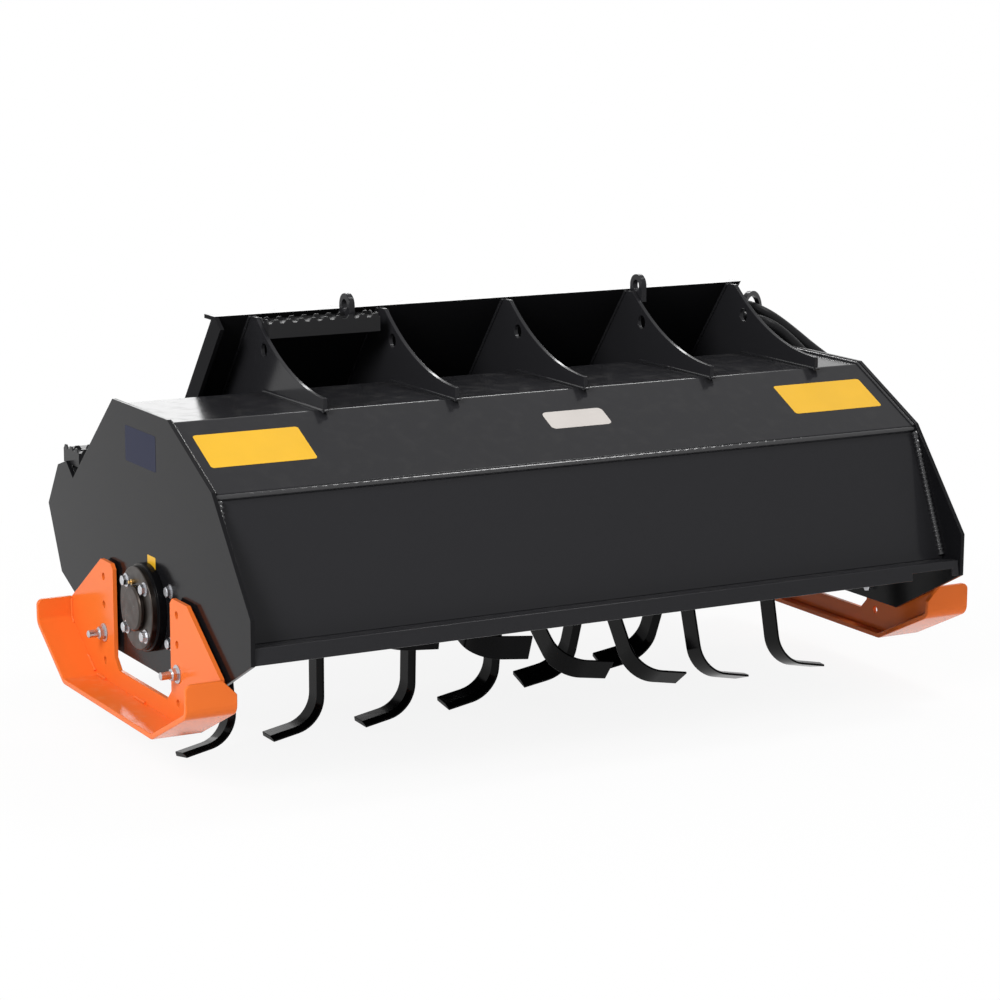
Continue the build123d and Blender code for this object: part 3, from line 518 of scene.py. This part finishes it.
def bead_tree():
    """A Geometry Nodes tree that turns seam lines into weld beads."""
    tree = bpy.data.node_groups.new("weld_bead", "GeometryNodeTree")
    face = tree.interface
    face.new_socket("Seams", in_out="INPUT", socket_type="NodeSocketGeometry")
    for title, value in BEAD.items():
        face.new_socket(title, in_out="INPUT", socket_type="NodeSocketFloat").default_value = value
    face.new_socket("Finish", in_out="INPUT", socket_type="NodeSocketMaterial")
    face.new_socket("Beads", in_out="OUTPUT", socket_type="NodeSocketGeometry")
    given, result = put(tree, "NodeGroupInput"), put(tree, "NodeGroupOutput")
    seams = put(tree, "GeometryNodeMeshToCurve")
    resample = put(tree, "GeometryNodeResampleCurve", mode="LENGTH")
    along = put(tree, "GeometryNodeSplineParameter")
    spatter = put(tree, "ShaderNodeTexNoise", {"Scale": SPATTER_SCALE})
    swell, uneven = put(tree, "ShaderNodeMapRange"), put(tree, "ShaderNodeMapRange")
    circle = put(tree, "GeometryNodeCurvePrimitiveCircle", {"Resolution": BEAD_SIDES, "Radius": 1.0})
    sweep = put(tree, "GeometryNodeCurveToMesh", {"Fill Caps": True})
    smooth = put(tree, "GeometryNodeSetShadeSmooth")
    real = put(tree, "GeometryNodeRealizeInstances")
    finish = put(tree, "GeometryNodeSetMaterial")
    high = maths(tree, "ADD", 1.0, given.outputs["Ripple"])
    low = maths(tree, "SUBTRACT", 1.0, given.outputs["Ripple"])
    saw = maths(tree, "FRACT", maths(tree, "DIVIDE", along.outputs["Length"], given.outputs["Puddle"]))
    radius = maths(tree, "MULTIPLY", maths(tree, "DIVIDE", given.outputs["Width"], 2.0),
                   maths(tree, "MULTIPLY", swell.outputs[0], uneven.outputs[0]))
    wire(tree,
         (given.outputs["Seams"], seams.inputs["Mesh"]),
         (seams.outputs["Curve"], resample.inputs["Curve"]),
         (given.outputs["Step"], resample.inputs["Length"]),
         (saw, swell.inputs["Value"]), (high, swell.inputs["To Min"]), (low, swell.inputs["To Max"]),
         (spatter.outputs["Fac"], uneven.inputs["Value"]),
         (high, uneven.inputs["To Min"]), (low, uneven.inputs["To Max"]),
         (resample.outputs["Curve"], sweep.inputs["Curve"]),
         (circle.outputs["Curve"], sweep.inputs["Profile Curve"]),
         (radius, sweep.inputs["Scale"]),
         (sweep.outputs["Mesh"], smooth.inputs["Geometry"]),
         (smooth.outputs["Geometry"], real.inputs["Geometry"]),
         (real.outputs["Geometry"], finish.inputs["Geometry"]),
         (given.outputs["Finish"], finish.inputs["Material"]),
         (finish.outputs["Geometry"], result.inputs["Beads"]))
    return tree


weld_bead = bead_tree()
print(weld_bead.name, len(weld_bead.nodes), "nodes")

# %% [markdown]
# A tree's inputs are set on the modifier by each socket's identifier. One helper does that by title, runs the tree
# once and keeps the plain mesh. Another makes the bare lines that the tree starts from.

# %% Run a Geometry Nodes tree and keep its mesh


def grown(name, seed_mesh, tree, values, body):
    """The plain mesh that a tree grows from a seed mesh, riding on a body."""
    piece = new_piece(name, seed_mesh)
    growth = piece.modifiers.new(tree.name, "NODES")
    growth.node_group = tree
    titles = {socket.name: socket.identifier for socket in tree.interface.items_tree if socket.in_out == "INPUT"}
    for title, value in values.items():
        growth[titles[title]] = value
    plain_mesh(piece)
    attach(piece, body)
    print(name, len(piece.data.polygons), "faces")
    return piece


def lines_mesh(name, lines):
    """A mesh of edges only, one chain for each list of points."""
    points, edges = [], []
    for line in lines:
        start = len(points)
        points += line
        edges += [(i, i + 1) for i in range(start, len(points) - 1)]
    mesh = bpy.data.meshes.new(name)
    mesh.from_pydata(points, edges, [])
    return mesh


# %% [markdown]
# The seams follow the housing's own corners. A gusset is welded on both sides along the deck, round its tip and up
# the coupler plate. The hood's sheets are welded to both side plates, and the front panel along both its ends.

# %% Seams of the housing
SIDES = (-1, 1)
GUSSETS = 5
HOOD_LINE = [(-42.3, 374.7), (149.4, 472.0), (392.0, 472.0), (626.9, 284.2), (663.3, 313.3), (698.5, 302.4)]
GUSSET_TIP_Y, DECK_BACK_Y, DECK_Z = 133, 392, 472
COUPLER_TOP, COUPLER_FOOT = (453, 608), (691, 309)
LIFT = 1        # how far a bead's middle lies off the corner that it fills
TIP_GAP = 2     # how far the bead round a gusset's tip stands in front of it

housing_seams = []
for number in range(1, GUSSETS + 1):
    low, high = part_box(f"gusset_{number}")
    middle = (low.x + high.x) / 2 / MM + ROW_ORIGIN.x
    half = (high.x - low.x) / 2 / MM
    for side in SIDES:
        x = middle + side * (half + LIFT)
        front, back = (row(x, y, DECK_Z + LIFT) for y in (GUSSET_TIP_Y - TIP_GAP, DECK_BACK_Y))
        housing_seams.append([front, back, row(x, *HOOD_LINE[3])])
        housing_seams.append([row(x, *COUPLER_TOP), row(x, *COUPLER_FOOT)])
    ends = (middle + side * (half + LIFT) for side in SIDES)
    housing_seams.append([row(x, GUSSET_TIP_Y - TIP_GAP, DECK_Z + LIFT) for x in ends])
for side in SIDES:
    housing_seams.append([row(side * (PLATE_IN - LIFT), y, z + LIFT) for y, z in HOOD_LINE])
print(len(housing_seams), "seams")
grown("housing_welds", lines_mesh("housing_seams", housing_seams), weld_bead,
      {**BEAD, "Finish": weld_paint}, "housing")

# %% [markdown]
# The front panel carries the heaviest beads: one down each end, and a long, nearly even one where it meets the brow.

# %% Seams of the front panel
PANEL_LINE = [(-147, 137), (-49, 364)]
BROW_CORNER = (-41.5, 368.8)
PANEL_BEAD = {"Width": 0.013, "Puddle": 0.009, "Step": 0.002, "Ripple": 0.3}
BROW_BEAD = {"Width": 0.011, "Puddle": 0.02, "Step": 0.004, "Ripple": 0.04}

panel_seams = [[row(side * (PLATE_IN - 3 * LIFT), *point) for point in PANEL_LINE] for side in SIDES]
grown("panel_welds", lines_mesh("panel_seams", panel_seams), weld_bead,
      {**PANEL_BEAD, "Finish": weld_paint}, "housing")
brow_seam = [[row(side * PLATE_IN, *BROW_CORNER) for side in SIDES]]
grown("brow_weld", lines_mesh("brow_seam", brow_seam), weld_bead,
      {**BROW_BEAD, "Finish": weld_paint}, "housing")

# %% [markdown]
# Each skid's upright plate is stitched to the runner on its outer side: short beads with bare gaps between them,
# which is enough here and keeps the long runner from warping. Both turned-up ends are welded all the way.

# %% Stitches of the skids
STITCH_BEAD = {"Width": 0.0065, "Puddle": 0.005, "Step": 0.0016, "Ripple": 0.18}
STITCHES = [
    [(-100, 60), (-100, 16), (-92, 8)], [(8, -40), (44, -58)], [(56, -61), (96, -61)], [(240, -61), (290, -61)],
    [(436, -61), (476, -61)], [(490, -57), (525, -35)], [(601, 13), (608, 24), (608, 62)],
]

skid_seams = []
for side, name in zip(SIDES, ("left", "right")):
    low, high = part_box(f"skid_plate_{name}")
    outer = (low.x if side < 0 else high.x) / MM + ROW_ORIGIN.x
    skid_seams += [[row(outer + side * LIFT, y, z) for y, z in stitch] for stitch in STITCHES]
grown("skid_welds", lines_mesh("skid_seams", skid_seams), weld_bead,
      {**STITCH_BEAD, "Finish": orange_weld}, "housing")

# %% [markdown]
# ## Bolts, nuts and washers
# Every fastener is the same few shapes: a washer, a hexagon with a turned chamfer, and sometimes a stud.
# Each place carries its own sizes as attributes, and one Geometry Nodes tree sets the shapes there, scaled to those
# sizes and each turned by a random angle, because no two bolts stop at the same angle when they are tightened.

# %% The fastener tree
WASHER_SHARE, STUD_SHARE = 1.4, 0.59        # radii, as shares of the hexagon's
FLAT_SHARE = 0.866                          # a hexagon's flats, as a share of its corners


def fastener_tree():
    """A Geometry Nodes tree that sets a washer, a hexagon and a stud on each point, all along x."""
    tree = bpy.data.node_groups.new("fastener", "GeometryNodeTree")
    face = tree.interface
    face.new_socket("Places", in_out="INPUT", socket_type="NodeSocketGeometry")
    for title, value in (("Washer Share", WASHER_SHARE), ("Stud Share", STUD_SHARE)):
        face.new_socket(title, in_out="INPUT", socket_type="NodeSocketFloat").default_value = value
    face.new_socket("Seed", in_out="INPUT", socket_type="NodeSocketInt").default_value = 4
    face.new_socket("Finish", in_out="INPUT", socket_type="NodeSocketMaterial")
    face.new_socket("Fasteners", in_out="OUTPUT", socket_type="NodeSocketGeometry")
    given, result = put(tree, "NodeGroupInput"), put(tree, "NodeGroupOutput")

    def attribute(title):
        node = put(tree, "GeometryNodeInputNamedAttribute", {"Name": title}, data_type="FLOAT")
        return node.outputs["Attribute"]

    def drum(sides, wide, narrow, start, end):
        """A cone or cylinder along x, from start to end."""
        cone = put(tree, "GeometryNodeMeshCone",
                   {"Vertices": sides, "Radius Bottom": wide, "Radius Top": narrow, "Depth": end - start})
        turn = put(tree, "GeometryNodeTransform", {"Translation": (start, 0, 0), "Rotation": (0, pi / 2, 0)})
        wire(tree, (cone.outputs["Mesh"], turn.inputs["Geometry"]))
        return turn.outputs["Geometry"]

    def together(*parts):
        join = put(tree, "GeometryNodeJoinGeometry")
        wire(tree, *((part, join.inputs["Geometry"]) for part in reversed(parts)))
        return join.outputs["Geometry"]

    radius, facing = attribute("radius"), attribute("facing")
    chance = put(tree, "FunctionNodeRandomValue")
    chance.inputs[3].default_value = pi / 3
    turn = put(tree, "ShaderNodeCombineXYZ")
    wire(tree, (given.outputs["Seed"], chance.inputs["Seed"]), (chance.outputs[1], turn.inputs["X"]),
         (maths(tree, "MULTIPLY", maths(tree, "SUBTRACT", 1.0, facing), pi / 2), turn.inputs["Z"]))
    shapes = {
        "washer": (together(drum(20, 1.0, 1.0, 0.0, 0.85), drum(20, 1.0, 0.95, 0.85, 1.0)), "Washer Share"),
        "nut": (together(drum(6, 1.0, 1.0, 0.0, 0.9), drum(18, FLAT_SHARE, 0.76, 0.9, 1.0)), None),
        "stud": (together(drum(12, 1.0, 1.0, 0.0, 0.95), drum(12, 1.0, 0.7, 0.95, 1.0)), "Stud Share"),
    }
    placed = []
    for title, (shape, share) in shapes.items():
        wide = maths(tree, "MULTIPLY", radius, given.outputs[share]) if share else radius
        size = put(tree, "ShaderNodeCombineXYZ")
        setting = put(tree, "GeometryNodeInstanceOnPoints")
        wire(tree,
             (attribute(title), size.inputs["X"]), (wide, size.inputs["Y"]), (wide, size.inputs["Z"]),
             (given.outputs["Places"], setting.inputs["Points"]),
             (maths(tree, "GREATER_THAN", attribute(title), 0.0), setting.inputs["Selection"]),
             (shape, setting.inputs["Instance"]),
             (turn.outputs["Vector"], setting.inputs["Rotation"]),
             (size.outputs["Vector"], setting.inputs["Scale"]))
        placed.append(setting.outputs["Instances"])
    real, finish = put(tree, "GeometryNodeRealizeInstances"), put(tree, "GeometryNodeSetMaterial")
    wire(tree,
         (together(*placed), real.inputs["Geometry"]),
         (real.outputs["Geometry"], finish.inputs["Geometry"]),
         (given.outputs["Finish"], finish.inputs["Material"]),
         (finish.outputs["Geometry"], result.inputs["Fasteners"]))
    return tree


fastener = fastener_tree()
print(fastener.name, len(fastener.nodes), "nodes")

# %% [markdown]
# A place is a point with its sizes in millimetres: how thick the washer, how tall the nut, how long the stud, the
# hexagon's radius, and which way along x it faces. A thickness of zero leaves that shape out.

# %% Places for fasteners
FACING = ("washer", "nut", "stud", "radius", "facing")


def places_mesh(name, places):
    """A mesh of points, each with its fastener's sizes as attributes; a place is x, y, z and then those sizes."""
    mesh = bpy.data.meshes.new(name)
    mesh.from_pydata([row(*place[:3]) for place in places], [], [])
    for column, title in enumerate(FACING, start=3):
        sizes = mesh.attributes.new(title, "FLOAT", "POINT")
        scale = 1 if title == "facing" else MM
        sizes.data.foreach_set("value", [place[column] * scale for place in places])
    return mesh


print("a fastener's sizes:", FACING)

# %% [markdown]
# Each skid plate hangs on two bolts: a head inside the housing, a spacer between the plates, and outside a washer
# and a nut with a long stud standing out of it.

# %% Bolts of the skids
SKID_BOLTS_Y = (88, 441)
SKID_BOLT_Z = 29
SKID_GAP = 6
SKID_FACE = 766.5
BOLT_R, BOLT_T = 12.5, 11
WASHER_T = 2.4
STUD_T = 34
SPACER_R = 0.72 * BOLT_R

for side, name in zip(SIDES, ("left", "right")):
    places = []
    for y in SKID_BOLTS_Y:
        places += [
            (side * PLATE_IN, y, SKID_BOLT_Z, 0, BOLT_T, 0, BOLT_R, -side),
            (side * PLATE_OUT, y, SKID_BOLT_Z, SKID_GAP, 0, 0, SPACER_R, side),
            (side * SKID_FACE, y, SKID_BOLT_Z, WASHER_T, BOLT_T + WASHER_T, STUD_T, BOLT_R, side),
        ]
    bolts = grown(f"skid_bolts_{name}_finished", places_mesh(f"skid_bolt_places_{name}", places), fastener,
                  {"Washer Share": WASHER_SHARE, "Stud Share": STUD_SHARE, "Seed": 4, "Finish": zinc},
                  "housing")
    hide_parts(f"skid_bolts_{name}")

# %% [markdown]
# The bearing has four bolts on its disc and two in the side plate beside it. They are smaller, and all one size.

# %% Bolts of the bearing
DISC_FACE, DISC_BOLT_OFF = 779.5, 43.8
PLATE_BOLTS_Y, PLATE_BOLTS_Z = 148, (70, 166)
SMALL_BOLT = (1.6, 10, 0, 10, -1)
SMALL_WASHER_SHARE = 1.3

places = [(-DISC_FACE, AXLE_Y + i * DISC_BOLT_OFF, AXLE_Z + j * DISC_BOLT_OFF, *SMALL_BOLT)
          for i in SIDES for j in SIDES]
places += [(-PLATE_OUT, PLATE_BOLTS_Y, z, *SMALL_BOLT) for z in PLATE_BOLTS_Z]
bolts = grown("bearing_bolts_finished", places_mesh("bearing_bolt_places", places), fastener,
              {"Washer Share": SMALL_WASHER_SHARE, "Stud Share": STUD_SHARE, "Seed": 9, "Finish": zinc},
              "housing")
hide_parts("bearing_bolts")

# %% [markdown]
# A grease nipple stands on the disc near its top. It is a turned brass part, so its half outline is spun round its
# own axis, which points straight out from the disc.

# %% Turned parts
TURNED_EDGE = radians(35)


def spun(name, outline, place, direction, material, sides=20):
    """A closed turned part: outline is (distance along, radius) in millimetres, starting and ending on the axis."""
    work = bmesh.new()
    chain = [work.verts.new((radius * MM, 0, along * MM)) for along, radius in outline]
    edges = [work.edges.new(pair) for pair in zip(chain, chain[1:])]
    bmesh.ops.spin(work, geom=chain + edges, axis=(0, 0, 1), cent=(0, 0, 0), steps=sides, angle=2 * pi)
    bmesh.ops.remove_doubles(work, verts=work.verts, dist=SAME_POINT / 10)
    bmesh.ops.recalc_face_normals(work, faces=work.faces)
    turn = Vector(direction).to_track_quat("Z", "Y").to_matrix().to_4x4()
    bmesh.ops.transform(work, matrix=Matrix.Translation(row(*place)) @ turn, verts=work.verts)
    mesh = bpy.data.meshes.new(name)
    work.to_mesh(mesh)
    work.free()
    shade(mesh, TURNED_EDGE, material)
    return new_piece(name, mesh)


NIPPLE = [(0, 0), (0, 5), (4, 5), (4, 3), (5.5, 2.6), (7, 3.2), (8.6, 3.2), (9.6, 2), (9.6, 0)]
NIPPLE_AT = (-DISC_FACE, AXLE_Y + 11, AXLE_Z + 47)
nipple = spun("grease_nipple", NIPPLE, NIPPLE_AT, (-1, 0, 0), brass)
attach(nipple, "housing")
print("nipple", len(nipple.data.polygons), "faces")

# %% [markdown]
# ## Labels
# Each label is a thin vinyl sheet with round corners, lying a fraction of a millimetre off its plate. They are left
# blank. One function cuts them all: it takes the sheet's middle, its two directions and its size.

# %% Label vinyl and the label cutter
LABEL_LIFT, LABEL_T = 0.05, 0.3
CORNER_STEPS = 5
VINYL_INDEX, VINYL_DRIFT = 1.3, 0.88


def vinyl(name, colour, roughness, index=VINYL_INDEX):
    """Vinyl film whose colour drifts faintly towards a darker tone."""
    material, tree, shader = start_finish(name)
    shader.inputs["Roughness"].default_value = roughness
    shader.inputs["IOR"].default_value = index
    place = put(tree, "ShaderNodeTexCoord")
    drift = put(tree, "ShaderNodeTexNoise", {"Scale": 14.0})
    darker = (*(VINYL_DRIFT * c for c in colour), 1)
    tone = put(tree, "ShaderNodeMix", {"A": (*colour, 1), "B": darker}, data_type="RGBA")
    wire(tree,
         (place.outputs["Object"], drift.inputs["Vector"]),
         (drift.outputs["Fac"], tone.inputs["Factor"]),
         (tone.outputs["Result"], shader.inputs["Base Color"]))
    return material


def label(name, middle, right, up, width, height, corner, material):
    """A blank vinyl label: middle is in the housing's millimetres, right and up are directions."""
    right, up = Vector(right).normalized(), Vector(up).normalized()
    out = right.cross(up)
    rim = []
    for i, j, start in ((1, 1, 0), (-1, 1, pi / 2), (-1, -1, pi), (1, -1, 3 * pi / 2)):
        across, along = i * (width / 2 - corner), j * (height / 2 - corner)
        for step in range(CORNER_STEPS + 1):
            angle = start + step * pi / 2 / CORNER_STEPS
            rim.append((across + corner * cos(angle), along + corner * sin(angle)))
    count = len(rim)
    points = [row(*(Vector(middle) + right * a + up * b + out * lift))
              for lift in (LABEL_LIFT, LABEL_T) for a, b in rim]
    faces = [list(range(count, 2 * count)), list(reversed(range(count)))]
    faces += [(i, (i + 1) % count, count + (i + 1) % count, count + i) for i in range(count)]
    mesh = bpy.data.meshes.new(name)
    mesh.from_pydata(points, [], faces)
    mesh.materials.append(material)
    piece = new_piece(name, mesh)
    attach(piece, "housing")
    return piece


yellow = vinyl("yellow_vinyl", (0.84, 0.47, 0.016), 0.35)
off_white = vinyl("off_white_vinyl", (0.62, 0.58, 0.55), 0.35)
blue = vinyl("blue_plate", (0.007, 0.010, 0.036), 0.3, 1.15)
print("vinyls", yellow.name, off_white.name, blue.name)

# %% [markdown]
# Two yellow labels and an off-white badge lie on the sloping brow, a dark blue plate on the left side plate, and a
# small yellow square near the bearing. Positions on the brow are measured up its slope from its front edge.

# %% Stick the labels on
BROW_FOOT, BROW_HEAD = Vector((0, *HOOD_LINE[0])), Vector((0, *HOOD_LINE[1]))
BROW_UP = (BROW_HEAD - BROW_FOOT).normalized()
ACROSS = Vector((1, 0, 0))
BROW_LABELS = {        # name: (from x, to x, from, to up the slope, corner, finish)
    "yellow_label_left": (-721, -516, 75, 172, 6, yellow),
    "yellow_label_right": (509, 713, 73, 166, 6, yellow),
    "badge": (-24, 106, 96, 148, 10, off_white),
}
SIDE_LABELS = {        # name: (middle y, middle z, width, height, corner, finish)
    "data_plate": (277, 406, 145, 66, 4, blue),
    "small_yellow_label": (234, 203, 38, 23, 2, yellow),
}

for name, (x0, x1, s0, s1, corner, finish) in BROW_LABELS.items():
    middle = BROW_FOOT + BROW_UP * (s0 + s1) / 2 + ACROSS * (x0 + x1) / 2
    label(name, middle, ACROSS, BROW_UP, x1 - x0, s1 - s0, corner, finish)
for name, (y, z, width, height, corner, finish) in SIDE_LABELS.items():
    label(name, (-PLATE_OUT, y, z), (0, -1, 0), (0, 0, 1), width, height, corner, finish)
print("labels", [*BROW_LABELS, *SIDE_LABELS])

# %% [markdown]
# ## Studio
# The machine stands against plain white. The world is white where a camera, mirror or glass ray meets it, so the
# background and the gloss paint's mirror image are both bright. To every other ray it is less than half as bright,
# so that shading keeps its depth. A Light Path node tells the rays apart, for the world here and for the floor next.

# %% World
WORLD_STRENGTH = 0.45


def white_background(tree, shaded, out):
    """Mixes a shader with white that only camera, mirror and glass rays see, and returns the node of its share."""
    path = put(tree, "ShaderNodeLightPath")
    glow = put(tree, "ShaderNodeEmission")
    mix = put(tree, "ShaderNodeMixShader")
    sharp = maths(tree, "MAXIMUM", path.outputs["Is Glossy Ray"], path.outputs["Is Transmission Ray"])
    seen = maths(tree, "MAXIMUM", path.outputs["Is Camera Ray"], sharp)
    share = maths(tree, "MULTIPLY", seen, 1.0)
    wire(tree,
         (share, mix.inputs["Fac"]),
         (shaded, mix.inputs[1]),
         (glow.outputs["Emission"], mix.inputs[2]),
         (mix.outputs["Shader"], out))
    return share.node


world = bpy.data.worlds.new("studio")
scene.world = world
world.use_nodes = True
air = world.node_tree
air.nodes["Background"].inputs["Color"].default_value = (1, 1, 1, 1)
air.nodes["Background"].inputs["Strength"].default_value = WORLD_STRENGTH
white_background(air, air.nodes["Background"].outputs["Background"], air.nodes["World Output"].inputs["Surface"])
print("world strength", WORLD_STRENGTH)

# %% [markdown]
# The floor mixes its own shaded paint with the same white. Near the machine a small share of the paint is kept, which
# is the shadow. A spherical Gradient texture lets that share die away with distance, so the floor has no far edge.
# It lies just under the lowest tine.

# %% Floor
FLOOR_HALF = 14.0
FLOOR_GAP = 0.002
FLOOR_TONE = 0.9
SHADOW_REACH = 1.9
SHADOW_SHARE = 0.1857

floor_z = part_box("tines_left_hand")[0].z - FLOOR_GAP
floor_corners = [(-FLOOR_HALF, -FLOOR_HALF), (FLOOR_HALF, -FLOOR_HALF), (FLOOR_HALF, FLOOR_HALF),
                 (-FLOOR_HALF, FLOOR_HALF)]
floor_mesh = bpy.data.meshes.new("floor")
floor_mesh.from_pydata([(x, y, floor_z) for x, y in floor_corners], [], [(0, 1, 2, 3)])
floor = new_piece("floor", floor_mesh)
floor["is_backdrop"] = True
floor_finish, tree, floor_paint = start_finish("studio_floor")
floor_paint.inputs["Base Color"].default_value = (FLOOR_TONE, FLOOR_TONE, FLOOR_TONE, 1)
floor_paint.inputs["Roughness"].default_value = 0.9
white = white_background(tree, floor_paint.outputs["BSDF"], tree.nodes["Material Output"].inputs["Surface"])
place = put(tree, "ShaderNodeTexCoord")
shrink = put(tree, "ShaderNodeMapping", {"Scale": (1 / SHADOW_REACH,) * 3})
near = put(tree, "ShaderNodeTexGradient", gradient_type="SPHERICAL")
share = put(tree, "ShaderNodeMapRange", {"To Min": 1.0, "To Max": 1.0 - SHADOW_SHARE})
wire(tree,
     (place.outputs["Object"], shrink.inputs["Vector"]),
     (shrink.outputs["Vector"], near.inputs["Vector"]),
     (near.outputs["Fac"], share.inputs["Value"]),
     (share.outputs["Result"], white.inputs[1]))
floor_mesh.materials.append(floor_finish)
print("floor at", round(floor_z, 3))

# %% [markdown]
# Four soft lamps stand in for a studio's soft boxes. The key is large, high and to the left of the front. A weaker
# one hangs overhead. A narrow strip behind draws the bright lines along the hood's folds, and a long low panel
# farther back puts a sheen on the deck. None of them shows to the camera.

# %% Lamps
LAMPS = {        # name: (place, aim, width, height, power)
    "key": ((-4.2, -2.6, 2.6), (0.0, -0.2, -0.2), 1.8, 1.8, 190),
    "overhead": ((1.7, -0.9, 3.4), (0.0, -0.1, 0.0), 1.1, 0.9, 50),
    "fold_strip": ((1.9, 2.5, 2.2), (0.0, 0.0, 0.0), 1.6, 0.35, 24),
    "back_panel": ((1.6, 5.0, 1.35), (0.0, 0.0, 0.2), 4.4, 1.3, 40),
}

for name, (place, aim_at, width, height, power) in LAMPS.items():
    light = bpy.data.lights.new(name, "AREA")
    light.shape = "RECTANGLE"
    light.size, light.size_y, light.energy = width, height, power
    lamp = new_piece(name, light)
    lamp.visible_camera = False
    lamp.matrix_world = aimed(place, Vector(aim_at) - Vector(place))
scene.view_settings.view_transform = "Standard"
print("lamps", list(LAMPS))

# %% [markdown]
# Last, the dressed machine's size is written beside the frame's, so that any growth past the steel shows at once.

# %% Sizes and finish
dressed_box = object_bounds()
pairs = [pair for corners in zip(dressed_box, cad_box) for pair in zip(*corners)]
print("grown by", [round((abs(dressed) - abs(cad)) / MM, 1) for dressed, cad in pairs], "mm")
